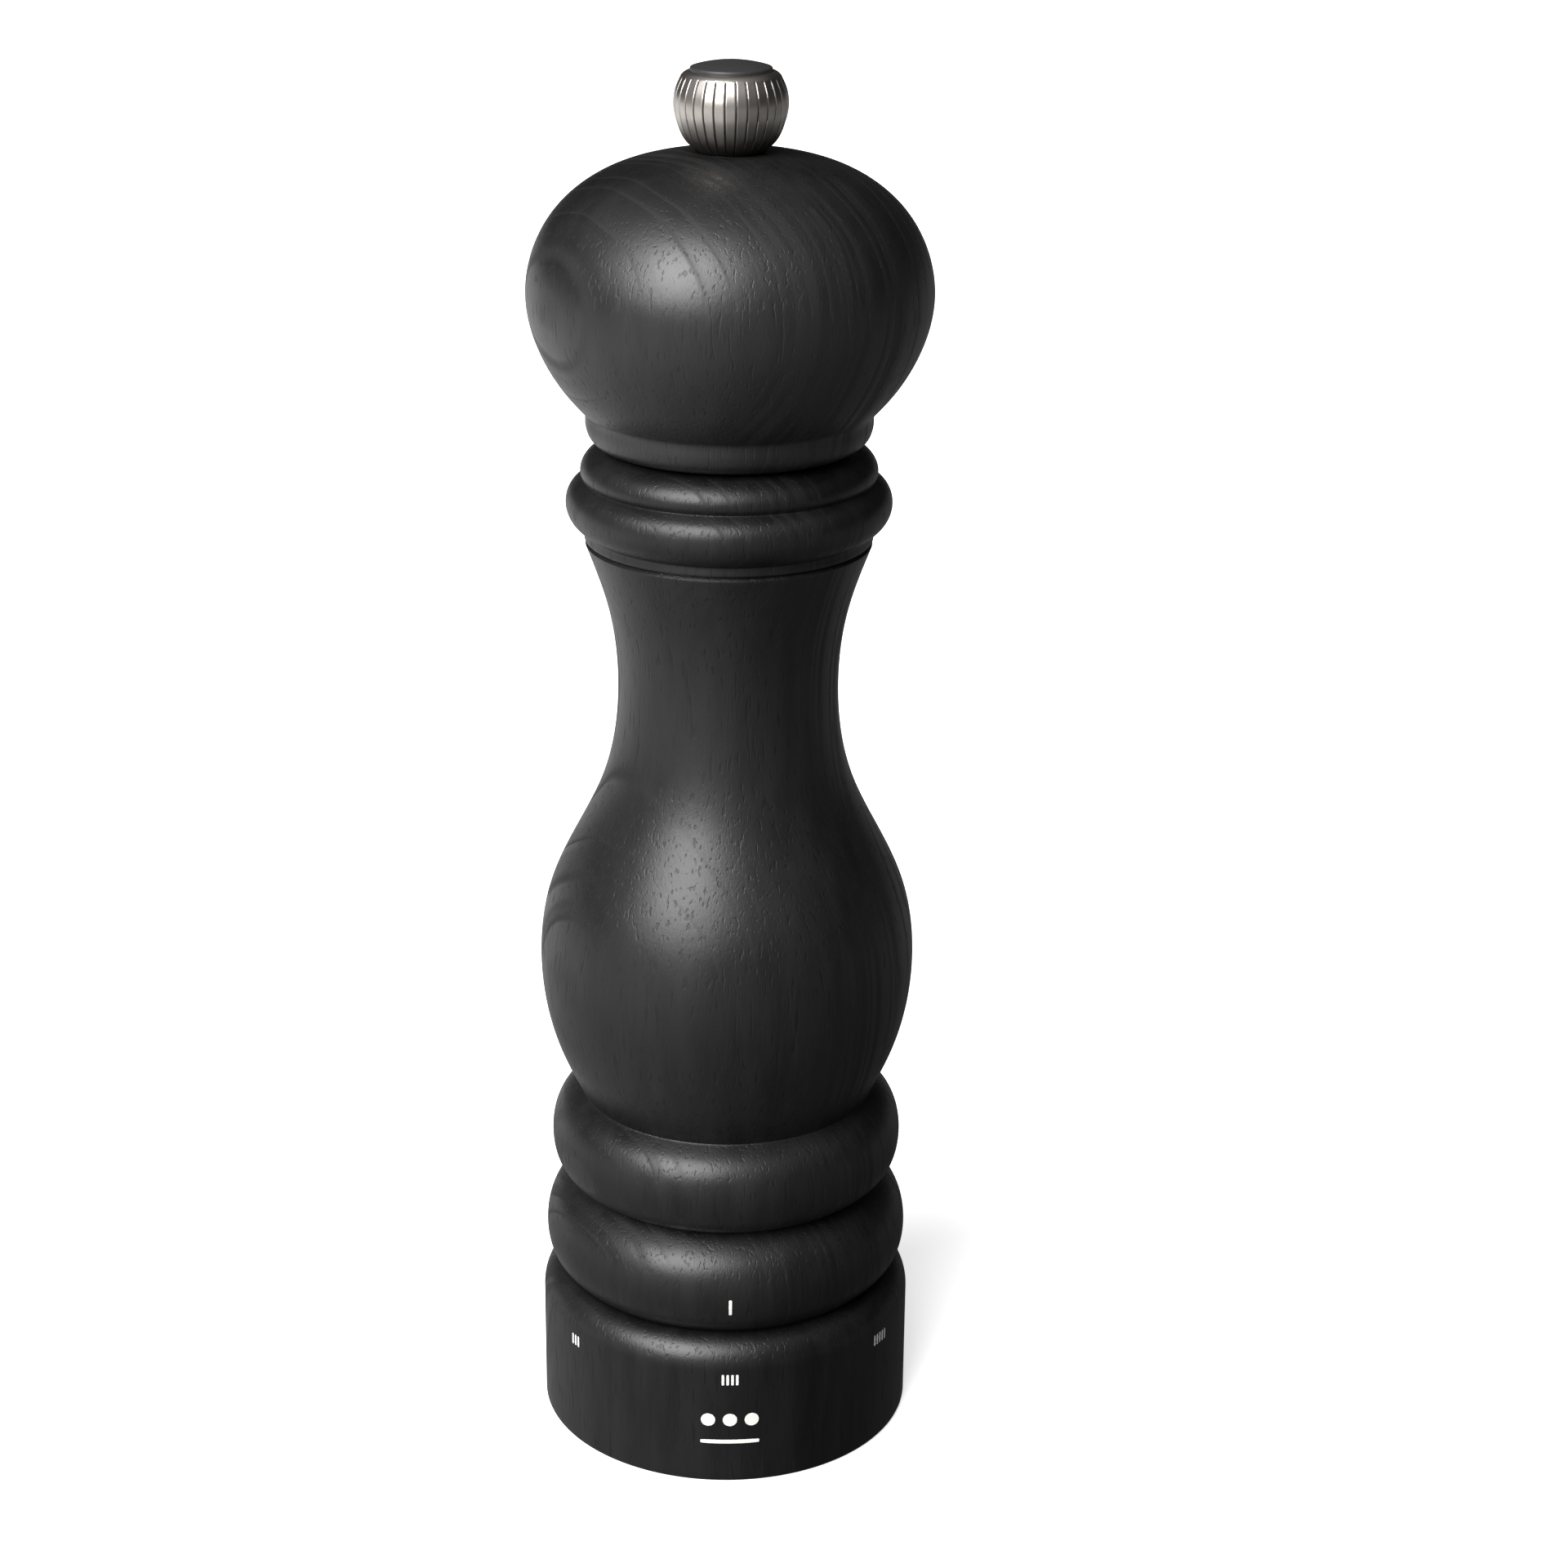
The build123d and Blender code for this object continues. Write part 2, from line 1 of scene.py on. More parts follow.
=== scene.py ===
import math

import bpy
import numpy as np
from mathutils import Euler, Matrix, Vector


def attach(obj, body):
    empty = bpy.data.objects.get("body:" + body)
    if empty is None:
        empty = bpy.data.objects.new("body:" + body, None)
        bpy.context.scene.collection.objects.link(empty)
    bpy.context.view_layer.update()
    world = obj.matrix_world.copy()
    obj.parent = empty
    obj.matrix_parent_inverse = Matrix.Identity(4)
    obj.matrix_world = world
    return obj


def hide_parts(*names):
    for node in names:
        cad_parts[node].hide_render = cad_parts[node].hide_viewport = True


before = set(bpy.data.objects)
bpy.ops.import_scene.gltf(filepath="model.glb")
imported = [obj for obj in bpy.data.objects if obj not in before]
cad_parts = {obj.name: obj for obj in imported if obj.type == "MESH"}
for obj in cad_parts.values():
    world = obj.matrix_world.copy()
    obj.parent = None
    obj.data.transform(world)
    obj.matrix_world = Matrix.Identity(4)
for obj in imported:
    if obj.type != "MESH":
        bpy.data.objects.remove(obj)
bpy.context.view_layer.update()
print("frame loaded:", len(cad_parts), "nodes")

mm = 0.001


# Natural cubic curve through the points, spaced by chord length: r and z are each a spline of the distance
# run, with no bend at the two ends.
def smoothLine(points, count):
    pts = np.array(points, float)
    s = np.concatenate([[0.0], np.cumsum(np.hypot(*np.diff(pts, axis=0).T))])
    n = len(s)
    h = np.diff(s)
    a = np.zeros((n, n))
    b = np.zeros((n, 2))
    a[0, 0] = a[-1, -1] = 1.0
    i = np.arange(1, n - 1)
    a[i, i - 1] = h[:-1]
    a[i, i] = 2 * (h[:-1] + h[1:])
    a[i, i + 1] = h[1:]
    b[1:-1] = 6 * (np.diff(pts, axis=0)[1:] / h[1:, None] - np.diff(pts, axis=0)[:-1] / h[:-1, None])
    m = np.linalg.solve(a, b)
    t = np.linspace(0, s[-1], count)
    k = np.clip(np.searchsorted(s, t, side="right") - 1, 0, n - 2)
    u = (t - s[k])[:, None]
    hk = h[k][:, None]
    slope = (pts[k + 1] - pts[k]) / hk - hk * (2 * m[k] + m[k + 1]) / 6
    return pts[k] + slope * u + m[k] / 2 * u**2 + (m[k + 1] - m[k]) / (6 * hk) * u**3


# Mesh from a grid of points: row i is one ring round the axis, column j one outline, both closed.
def gridMesh(name, xyz, closeU=True, closeV=True, sharpDeg=40.0):
    rows, cols = xyz.shape[:2]
    i = np.arange(rows if closeV else rows - 1)
    j = np.arange(cols if closeU else cols - 1)
    i, j = np.meshgrid(i, j, indexing="ij")
    i2, j2 = (i + 1) % rows, (j + 1) % cols
    quads = np.stack([i * cols + j, i * cols + j2, i2 * cols + j2, i2 * cols + j], axis=-1).reshape(-1, 4)
    mesh = bpy.data.meshes.new(name)
    mesh.from_pydata(xyz.reshape(-1, 3).tolist(), [], quads.tolist())
    mesh.update()
    mesh.polygons.foreach_set("use_smooth", np.ones(len(mesh.polygons), bool))
    if sharpDeg:
        mesh.set_sharp_from_angle(angle=math.radians(sharpDeg))
    piece = bpy.data.objects.new(name, mesh)
    bpy.context.scene.collection.objects.link(piece)
    return piece


# Lathe work: the closed outline (r, z) in mm swung round Z. x = r cos a, y = r sin a.
def turned(name, outline, sides=224, sharpDeg=40.0):
    r, z = np.array(outline).T * mm
    a = np.linspace(0, 2 * math.pi, sides, endpoint=False)
    height = np.repeat(z[:, None], sides, 1)
    xyz = np.stack([r[:, None] * np.cos(a), r[:, None] * np.sin(a), height], axis=-1)
    return gridMesh(name, xyz, sharpDeg=sharpDeg)


# A straight stretch of outline between two points, or a smooth one through more.
def run(*points, count=2):
    if len(points) == 2:
        return np.linspace(points[0], points[1], count)
    return smoothLine(points, count)


# One outline from several stretches, with the doubled corner points dropped.
def joined(*stretches):
    pts = np.concatenate(stretches)
    keep = np.hypot(*(pts - np.roll(pts, 1, axis=0)).T) > 1e-4
    return pts[keep]


# Sands the arrises: each hard corner point is swapped for three on a small curve.
def softCorners(outline, radius=0.15, sharpDeg=25.0):
    before = outline - np.roll(outline, 1, axis=0)
    after = np.roll(outline, -1, axis=0) - outline
    lb, la = np.hypot(*before.T), np.hypot(*after.T)
    cosTurn = (before * after).sum(1) / (lb * la)
    hard = cosTurn < math.cos(math.radians(sharpDeg))
    back = outline - before / lb[:, None] * np.minimum(radius, lb * 0.45)[:, None]
    ahead = outline + after / la[:, None] * np.minimum(radius, la * 0.45)[:, None]
    middle = 0.5 * outline + 0.25 * (back + ahead)
    trio = np.stack([back, middle, ahead], axis=1)
    trio[~hard] = outline[~hard][:, None, :]
    pick = np.stack([hard, np.ones_like(hard), hard], axis=1)
    return trio[pick]


# A fresh node material and helpers to add its nodes and wire them.
def material(name):
    mat = bpy.data.materials.new(name)
    mat.use_nodes = True
    tree = mat.node_tree
    shader = tree.nodes["Principled BSDF"]

    def node(kind, **settings):
        made = tree.nodes.new(kind)
        for key, value in settings.items():
            if key in made.inputs.keys():
                made.inputs[key].default_value = value
            else:
                setattr(made, key, value)
        return made

    def wire(a, outName, b, inName):
        tree.links.new(a.outputs[outName], b.inputs[inName])

    return mat, shader, node, wire


stainedBeech = {
    "base": (0.0015, 0.0015, 0.0017, 1),
    "pale": (0.0075, 0.0074, 0.0076, 1),
    "line": (0.0006, 0.0006, 0.0007, 1),
    "ringEvery": 3.6 * mm,
    "roughness": 0.40,
    "ringRoughness": 0.24,
    "bump": 0.7,
    "bumpDepth": 0.04 * mm,
    "ringSink": 0.3,
    "fleckSink": 0.8,
    "wander": (24.0, 0.4, 2.0, 0.5),
    "wanderReach": 11.0 * mm,
    "ringPatches": (38.0, 0.7, 2.0, 0.5),
    "fibres": (2200.0, 0.35, 3.0, 0.7),
    "streaks": (320.0, 0.11, 3.0, 0.65),
    "clouds": (55.0, 0.35, 3.0, 0.55),
    "pores": (1900.0, 0.10, 1.0, 0.4),
}


# Where each turned piece was cut from the log: a point on the pith line in metres, the line's lean about X
# and Y, how strongly rings show, and how much the lacquer reflects. The lower reflection on body and ring is
# painted shade: it stands in for the softbox's light falling off away from the head.
timber = {
    "head": {"name": "blackBeechHead", "pith": (0.085, 0.045, 0.170), "leanDeg": (14, 8), "seed": 0.13,
             "ringLevel": 1.0, "glossAndShade": 0.5},
    "body": {"name": "blackBeechBody", "pith": (0.090, 0.050, 0.090), "leanDeg": (9, 12), "seed": 0.57,
             "ringLevel": 0.9, "glossAndShade": 0.36},
    "ring": {"name": "blackBeechRing", "pith": (-0.075, -0.045, 0.012), "leanDeg": (-8, 6), "seed": 0.91,
             "ringLevel": 0.7, "glossAndShade": 0.38},
}


# Black stained beech in satin lacquer. Growth rings: distance from the pith line, bent by slow noise and faded
# in and out by a cloudy mask. Fibres, streaks, clouds and pores are noise, each with its own scale, stretch
# along Z, detail and roughness.
def woodMaterial(spec, cut):
    mat, shader, node, wire = material(cut["name"])
    # specular level: the lower body and ring values are painted shade for light falling off below the head
    shader.inputs["Specular IOR Level"].default_value = cut["glossAndShade"]
    seed = cut["seed"]
    tree = mat.node_tree

    def sums(operation, first, second=None, third=None, clamp=False):
        made = node("ShaderNodeMath", operation=operation, use_clamp=clamp)
        for slot, value in enumerate((first, second, third)):
            if isinstance(value, (int, float)):
                made.inputs[slot].default_value = value
            elif value is not None:
                tree.links.new(value, made.inputs[slot])
        return made.outputs[0]

    def noise(vector, scale, stretch, detail, roughness):
        mapped = node("ShaderNodeMapping", Scale=(1.0, 1.0, stretch), Location=(seed, -seed, seed))
        tree.links.new(vector, mapped.inputs["Vector"])
        made = node("ShaderNodeTexNoise", Scale=scale, Detail=detail, Roughness=roughness)
        wire(mapped, "Vector", made, "Vector")
        return made

    place = node("ShaderNodeTexCoord").outputs["Object"]

    wander = noise(place, *spec["wander"])
    centred = node("ShaderNodeVectorMath", operation="SUBTRACT")
    centred.inputs[1].default_value = (0.5, 0.5, 0.5)
    wire(wander, "Color", centred, 0)
    bent = node("ShaderNodeVectorMath", operation="MULTIPLY_ADD")
    bent.inputs[1].default_value = (spec["wanderReach"], spec["wanderReach"], 0.0)
    wire(centred, "Vector", bent, 0)
    lean = Euler([math.radians(a) for a in cut["leanDeg"]] + [0.0])
    fromPith = node("ShaderNodeMapping", Rotation=lean, Location=-(lean.to_matrix() @ Vector(cut["pith"])))
    tree.links.new(place, fromPith.inputs["Vector"])
    wire(fromPith, "Vector", bent, 2)
    flat = node("ShaderNodeVectorMath", operation="MULTIPLY")
    flat.inputs[1].default_value = (1.0, 1.0, 0.0)
    wire(bent, "Vector", flat, 0)
    reach = node("ShaderNodeVectorMath", operation="LENGTH")
    wire(flat, "Vector", reach, 0)
    turns = sums("DIVIDE", reach.outputs["Value"], spec["ringEvery"])
    year = node("ShaderNodeTexNoise", noise_dimensions="1D", Scale=0.9, Detail=2.0)
    tree.links.new(turns, year.inputs["W"])
    ringPlace = sums("FRACT", sums("MULTIPLY_ADD", year.outputs["Fac"], 2.2, turns))
    ringShape = node("ShaderNodeValToRGB")
    ramp = ringShape.color_ramp
    ramp.elements[0].color = (0.1, 0.1, 0.1, 1)
    ramp.elements[1].color = (0.0, 0.0, 0.0, 1)
    for where, level in ((0.4, 0.12), (0.62, 0.5), (0.80, 1.0), (0.90, 0.85)):
        stop = ramp.elements.new(where)
        stop.color = (level, level, level, 1)
    tree.links.new(ringPlace, ringShape.inputs["Fac"])
    mask = node("ShaderNodeMapRange", **{"From Min": 0.44, "From Max": 0.62, "To Min": 0.1, "To Max": 1.0})
    wire(noise(place, *spec["ringPatches"]), "Fac", mask, "Value")
    ring = sums("MULTIPLY", ringShape.outputs["Color"], mask.outputs["Result"])
    ring = sums("MULTIPLY", ring, cut["ringLevel"])

    fibre = noise(place, *spec["fibres"])
    streak = noise(place, *spec["streaks"])
    cloud = noise(place, *spec["clouds"])
    pores = node("ShaderNodeMapRange", **{"From Min": 0.60, "From Max": 0.70})
    wire(noise(place, *spec["pores"]), "Fac", pores, "Value")
    pore = pores.outputs["Result"]

    streakShare = sums("MULTIPLY", streak.outputs["Fac"], 0.6)
    cloudShare = sums("MULTIPLY", cloud.outputs["Fac"], 0.6)
    toneAt = sums("ADD", streakShare, cloudShare)
    soft = node("ShaderNodeMapRange", **{"From Min": 0.42, "From Max": 0.78})
    tree.links.new(toneAt, soft.inputs["Value"])
    tone = node("ShaderNodeMix", data_type="RGBA")
    tone.inputs[6].default_value = spec["base"]
    tone.inputs[7].default_value = spec["pale"]
    wire(soft, "Result", tone, 0)
    lined = node("ShaderNodeMix", data_type="RGBA")
    lined.inputs[7].default_value = spec["line"]
    tree.links.new(sums("MAXIMUM", ring, sums("MULTIPLY", pore, 0.9), clamp=True), lined.inputs[0])
    tree.links.new(tone.outputs[2], lined.inputs[6])
    tree.links.new(lined.outputs[2], shader.inputs["Base Color"])

    # rings, pores and cloudy patches are duller than the rest
    dull = sums("MULTIPLY_ADD", ring, spec["ringRoughness"], spec["roughness"])
    dull = sums("MULTIPLY_ADD", pore, 0.08, dull)
    dull = sums("MULTIPLY_ADD", sums("SUBTRACT", cloud.outputs["Fac"], 0.5), 0.22, dull)
    tree.links.new(dull, shader.inputs["Roughness"])

    height = sums("MULTIPLY_ADD", ring, -spec["ringSink"], fibre.outputs["Fac"])
    height = sums("MULTIPLY_ADD", pore, -spec["fleckSink"], height)
    bump = node("ShaderNodeBump", Strength=spec["bump"], Distance=spec["bumpDepth"])
    tree.links.new(height, bump.inputs["Height"])
    wire(bump, "Normal", shader, "Normal")
    return mat


# Small parts: one base colour with cloudy variation, noise in the roughness, and a fine bump whose grain is
# (scale, stretch along Z).
def plainMaterial(name, color, rough, metal=0.0, grain=(900.0, 1.0), bump=0.1, depth=0.02, vary=0.25):
    mat, shader, node, wire = material(name)
    coords = node("ShaderNodeTexCoord")
    place = node("ShaderNodeMapping", Scale=(1.0, 1.0, grain[1]))
    wire(coords, "Object", place, "Vector")
    fine = node("ShaderNodeTexNoise", Scale=grain[0], Detail=4.0, Roughness=0.6)
    wire(place, "Vector", fine, "Vector")
    cloud = node("ShaderNodeTexNoise", Scale=90.0, Detail=3.0)
    wire(coords, "Object", cloud, "Vector")
    tone = node("ShaderNodeMix", data_type="RGBA")
    tone.inputs[6].default_value = (*[c * (1 - vary) for c in color], 1)
    tone.inputs[7].default_value = (*[min(1.0, c * (1 + vary)) for c in color], 1)
    wire(cloud, "Fac", tone, 0)
    mat.node_tree.links.new(tone.outputs[2], shader.inputs["Base Color"])
    spread = node("ShaderNodeMapRange", **{"To Min": rough * 0.75, "To Max": min(1.0, rough * 1.3)})
    wire(fine, "Fac", spread, "Value")
    wire(spread, "Result", shader, "Roughness")
    relief = node("ShaderNodeBump", Strength=bump, Distance=depth * mm)
    wire(fine, "Fac", relief, "Height")
    wire(relief, "Normal", shader, "Normal")
    shader.inputs["Metallic"].default_value = metal
    return mat


wood = {piece: woodMaterial(stainedBeech, cut) for piece, cut in timber.items()}
print("wood materials made")

baseRing = {
    "radius": 30.2,
    "bore": 23.1,
    "wallTop": 20.2,
    "topRadius": 26.0,
    "top": 25.1,
}


# Straight wall, then a quarter ellipse in to the seam.
def baseRingOutline(d):
    a = np.linspace(0, math.pi / 2, 26)
    shoulder = np.stack([
        d["topRadius"] + (d["radius"] - d["topRadius"]) * np.cos(a),
        d["wallTop"] + (d["top"] - d["wallTop"]) * np.sin(a),
    ], axis=-1)
    t = np.linspace(-math.pi / 2, 0, 7)
    toe = np.stack([d["radius"] - 0.8 + 0.8 * np.cos(t), 0.8 + 0.8 * np.sin(t)], axis=-1)
    return joined(
        run((d["bore"], d["top"]), (d["bore"], 0.6), count=8),
        run((d["bore"], 0.6), (d["bore"] + 0.6, 0), count=2),
        run((d["bore"] + 0.6, 0), (d["radius"] - 0.8, 0), count=4),
        toe,
        run((d["radius"], 0.8), (d["radius"], d["wallTop"]), count=20),
        shoulder,
        run((d["topRadius"], d["top"]), (d["bore"], d["top"]), count=3),
    )


ringOutline = softCorners(baseRingOutline(baseRing))
ringWood = turned("turnedBaseRing", ringOutline)
ringWood.data.materials.append(wood["ring"])
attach(ringWood, "adjuster")
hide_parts("base_ring")

body = {
    "bottom": 25.4,
    "top": 164.05,
    "neck": 18.8,
    "socket": (14.2, 151.5),
    "chamber": (11.8, 63.0),
    "mechanism": (19.5, 54.5),
    "lowerGroove": (23.4, 41.9),
    "upperGroove": (23.5, 57.2),
    "vee": 149.3,
}


# From the seam up: two beads, belly, waist, V groove, collar, neck bead, then down the bores inside.
def bodyOutline(d):
    return joined(
        run((d["mechanism"][0], d["bottom"]), (26.1, d["bottom"]), count=3),
        run((26.1, d["bottom"]), (28.3, 27.7), (29.5, 33.2), (27.7, 38.6), d["lowerGroove"], count=44),
        run(d["lowerGroove"], (26.3, 43.3), (28.4, 49.2), (26.2, 55.4), d["upperGroove"], count=44),
        run(d["upperGroove"], (27.1, 65.0), (29.85, 80.4), (28.2, 91.8), (24.2, 100.7), (19.85, 109.8),
            (17.2, 126.5), (18.6, 138.4), (22.1, d["vee"] - 0.4), count=150),
        run((22.1, d["vee"] - 0.4), (21.5, d["vee"])),
        run((21.5, d["vee"]), (22.2, d["vee"] + 0.4)),
        run((22.2, d["vee"] + 0.4), (22.1, 151.0), count=4),
        run((22.1, 151.0), (23.8, 152.3), (25.0, 155.0), (24.1, 157.8), (22.3, 159.0), count=36),
        run((22.3, 159.0), (22.7, 159.9), (22.1, 162.0), (d["neck"], d["top"]), count=24),
        run((d["neck"], d["top"]), (d["socket"][0], d["top"]), count=3),
        run((d["socket"][0], d["top"]), d["socket"], count=6),
        run(d["socket"], (d["chamber"][0], d["socket"][1]), count=3),
        run((d["chamber"][0], d["socket"][1]), d["chamber"], count=16),
        run(d["chamber"], (d["mechanism"][0] - 3, d["mechanism"][1]), count=4),
        run((d["mechanism"][0] - 3, d["mechanism"][1]), d["mechanism"], count=2),
        run(d["mechanism"], (d["mechanism"][0], d["bottom"]), count=6),
    )


bodyLine = softCorners(bodyOutline(body))
bodyWood = turned("turnedBody", bodyLine)
bodyWood.data.materials.append(wood["body"])
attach(bodyWood, "body")
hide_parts("body_shell")

head = {
    "bottom": 164.35,
    "top": 208.3,
    "neck": 18.8,
    "tenon": (13.9, 152.1),
    "plate": (11.0, 153.5),
    "bore": 4.3,
    "washer": (5.0, 207.5),
    "ball": 30.6,
}


# Tenon, seat, small bead with a short wall, step out, ball, washer seat, bore.
def headOutline(d):
    return joined(
        run((d["plate"][0], d["tenon"][1]), d["tenon"], count=3),
        run(d["tenon"], (d["tenon"][0], d["bottom"]), count=4),
        run((d["tenon"][0], d["bottom"]), (d["neck"], d["bottom"]), count=3),
        run((d["neck"], d["bottom"]), (20.6, 165.0), (21.5, 166.1), (21.9, 167.6), count=14),
        run((21.9, 167.6), (21.9, 169.0), count=3),
        run((21.9, 169.0), (22.1, 169.5), count=2),
        run((22.1, 169.5), (24.7, 172.4), (28.8, 179.2), (d["ball"], 186.8), (26.7, 198.9), (16.2, 206.3),
            (7.4, d["top"]), count=130),
        run((7.4, d["top"]), (d["washer"][0], d["top"]), count=2),
        run((d["washer"][0], d["top"]), d["washer"], count=2),
        run(d["washer"], (d["bore"], d["washer"][1]), count=2),
        run((d["bore"], d["washer"][1]), (d["bore"], d["plate"][1]), count=10),
        run((d["bore"], d["plate"][1]), d["plate"], count=2),
        run(d["plate"], (d["plate"][0], d["tenon"][1]), count=2),
    )


headLine = softCorners(headOutline(head))
headWood = turned("turnedHead", headLine)
headWood.data.materials.append(wood["head"])
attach(headWood, "head")
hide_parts("head_shell")
print("turned wood made")


knob = {
    "ribs": 32,
    "facetsPerRib": 20,
    "grooveDepth": 0.4,
    "grooveWidth": 0.28,
    "foot": (4.8, 208.4),
    "rim": (7.4, 219.4),
    "insert": (3.6, 217.6),
    "pocket": (6.15, 219.25),
    "edge": 220.15,
    "core": 0.1,
    "turnDeg": -2.0,
    "footFade": 0.5,
    "rimFade": 0.35,
    "fullDepthRadius": 8.6,
    "leastDepth": 0.45,
}


# Cup side from foot to rim, rounded lip, pocket for the cap, bore for the insert. The pocket's floor stops at
# a core too fine to see, so that no ring closes to a point.
def knobOutline(d):
    return joined(
        run((d["insert"][0], d["foot"][1]), d["foot"], count=3),
        run(d["foot"], (6.6, 209.8), (8.0, 212.6), (8.55, 215.6), (8.1, 217.9), d["rim"], count=64),
        run(d["rim"], (6.9, 219.86), (d["pocket"][0], d["edge"]), count=10),
        run((d["pocket"][0], d["edge"]), d["pocket"], count=3),
        run(d["pocket"], (d["core"], d["pocket"][1]), count=4),
        run((d["core"], d["pocket"][1]), (d["core"], d["insert"][1]), count=2),
        run((d["core"], d["insert"][1]), d["insert"], count=3),
        run(d["insert"], (d["insert"][0], d["foot"][1]), count=6),
    )


# Outline swung round Z. Between foot and rim the radius follows a many-sided flat, r cos(pi/n) / cos(b), and
# dips by a narrow V where two flats meet; b is the angle from a rib's middle.
def ribbedKnob(d):
    outline = softCorners(knobOutline(d), radius=0.08)
    sides = d["ribs"] * d["facetsPerRib"]
    a = np.linspace(0, 2 * math.pi, sides, endpoint=False)
    pitch = 2 * math.pi / d["ribs"]
    b = (a - math.radians(d["turnDeg"]) + pitch / 2) % pitch - pitch / 2
    r, z = outline.T
    outer = np.arange(len(r)) < np.argmax(z)
    footFade = np.clip((z - d["foot"][1]) / d["footFade"], 0, 1)
    rimFade = np.clip((d["rim"][1] + 0.05 - z) / d["rimFade"], 0, 1)
    fade = footFade * rimFade
    fade = fade * outer * (r > d["foot"][0] - 0.02)
    flat = 1 - (math.cos(pitch / 2) / np.cos(b))
    edge = pitch / 2 - np.abs(b)
    vee = np.clip(1 - edge[None, :] * r[:, None] / (d["grooveWidth"] / 2), 0, 1)
    # grooves run shallower towards the narrow foot
    deep = d["grooveDepth"] * np.clip(r / d["fullDepthRadius"], d["leastDepth"], 1)[:, None]
    radius = r[:, None] * (1 - fade[:, None] * flat[None, :]) - fade[:, None] * deep * vee
    height = np.repeat(z[:, None], sides, 1)
    xyz = np.stack([radius * np.cos(a), radius * np.sin(a), height], axis=-1) * mm
    piece = gridMesh("ribbedKnob", xyz, sharpDeg=50.0)
    # groove mask, darkened in the material with patina and painted shade
    shade = (fade[:, None] * vee).reshape(-1)
    paint = piece.data.attributes.new("groove", "FLOAT", "POINT")
    paint.data.foreach_set("value", shade.astype(np.float32))
    return piece


pewter = {
    "metal": (0.45, 0.42, 0.39, 1),
    "patinaAndShade": (0.03, 0.027, 0.025, 1),
    "roughness": 0.3,
    "shadedFoot": (209.5, 214.0),
}


# Blackened pewter rubbed bright on the ribs. The grooves take the dark colour as patina and painted shade,
# and the low foot, where the knob sits on the head, takes it as painted shade.
def pewterMaterial(name, d):
    mat, shader, node, wire = material(name)
    coords = node("ShaderNodeTexCoord")
    dark = node("ShaderNodeAttribute", attribute_name="groove")
    cloud = node("ShaderNodeTexNoise", Scale=420.0, Detail=4.0)
    wire(coords, "Object", cloud, "Vector")
    height = node("ShaderNodeSeparateXYZ")
    wire(coords, "Object", height, "Vector")
    # painted shade: darker towards the knob's foot, where it sits on the head
    low = node("ShaderNodeMapRange", **{
        "From Min": d["shadedFoot"][0] * mm, "From Max": d["shadedFoot"][1] * mm, "To Min": 0.9, "To Max": 0.0})
    wire(height, "Z", low, "Value")
    patch = node("ShaderNodeMath", operation="MULTIPLY_ADD")
    patch.inputs[1].default_value = 0.5
    wire(cloud, "Fac", patch, 0)
    wire(low, "Result", patch, 2)
    cover = node("ShaderNodeMath", operation="ADD", use_clamp=True)
    wire(dark, "Fac", cover, 0)
    wire(patch, "Value", cover, 1)
    soft = node("ShaderNodeMapRange", **{"From Min": 0.2, "From Max": 1.1})
    wire(cover, "Value", soft, "Value")
    tone = node("ShaderNodeMix", data_type="RGBA")
    tone.inputs[6].default_value = d["metal"]
    tone.inputs[7].default_value = d["patinaAndShade"]
    wire(soft, "Result", tone, 0)
    mat.node_tree.links.new(tone.outputs[2], shader.inputs["Base Color"])
    rough = node("ShaderNodeMapRange", **{"To Min": d["roughness"], "To Max": 0.6})
    wire(soft, "Result", rough, "Value")
    wire(rough, "Result", shader, "Roughness")
    fine = node("ShaderNodeTexNoise", Scale=2600.0, Detail=2.0)
    wire(coords, "Object", fine, "Vector")
    bump = node("ShaderNodeBump", Strength=0.12, Distance=0.03 * mm)
    wire(fine, "Fac", bump, "Height")
    wire(bump, "Normal", shader, "Normal")
    shader.inputs["Metallic"].default_value = 1.0
    return mat


knobMetal = ribbedKnob(knob)
knobMetal.data.materials.append(pewterMaterial("rubbedPewter", pewter))
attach(knobMetal, "knob_turner")
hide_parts("knob")

cap = {"radius": 6.1, "bottom": 219.25, "edge": 220.72, "top": 221.58, "softEdge": 0.3, "core": 0.01}


# Flat-bottomed disc with a soft edge and a low dome; its rings shrink to a dot at the middle.
def capOutline(d):
    t = np.linspace(0, 1, 24)
    rim = d["radius"] - d["softEdge"]
    rise = d["top"] - d["edge"]
    dome = np.stack([(1 - t) * rim + t * d["core"], d["edge"] + rise * (1 - (1 - t) ** 2)], axis=-1)
    foot = (d["radius"] - 0.05, d["bottom"])
    wallTop = (d["radius"], d["edge"] - 0.4)
    return joined(
        run((d["core"], d["bottom"]), foot, count=4),
        run(foot, wallTop, count=3),
        run(wallTop, (d["radius"] - 0.08, d["edge"] - 0.12), (rim, d["edge"]), count=6),
        dome,
    )


capDisc = turned("knobCapDisc", capOutline(cap), sides=160)
capBlack = plainMaterial("capBlack", (0.018, 0.018, 0.019), 0.5, bump=0.15, grain=(1800.0, 1.0))
capDisc.data.materials.append(capBlack)
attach(capDisc, "knob_turner")
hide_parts("knob_cap")
print("knob made")


marks = {
    "barWidth": 0.42,
    "barGap": 0.34,
    "barHeight": 1.9,
    "barLow": 17.9,
    "indexWidth": 0.5,
    "indexLow": 30.1,
    "indexHeight": 2.8,
    "dotWidth": 2.3,
    "dotGap": 1.2,
    "dotLow": 10.4,
    "ruleWidth": 9.5,
    "ruleHeight": 0.7,
    "ruleLow": 7.2,
    "lift": 0.03,
    "front": -90.0,
}
settingCount = 6
settingStepDeg = 55.0
settingAtRest = 4


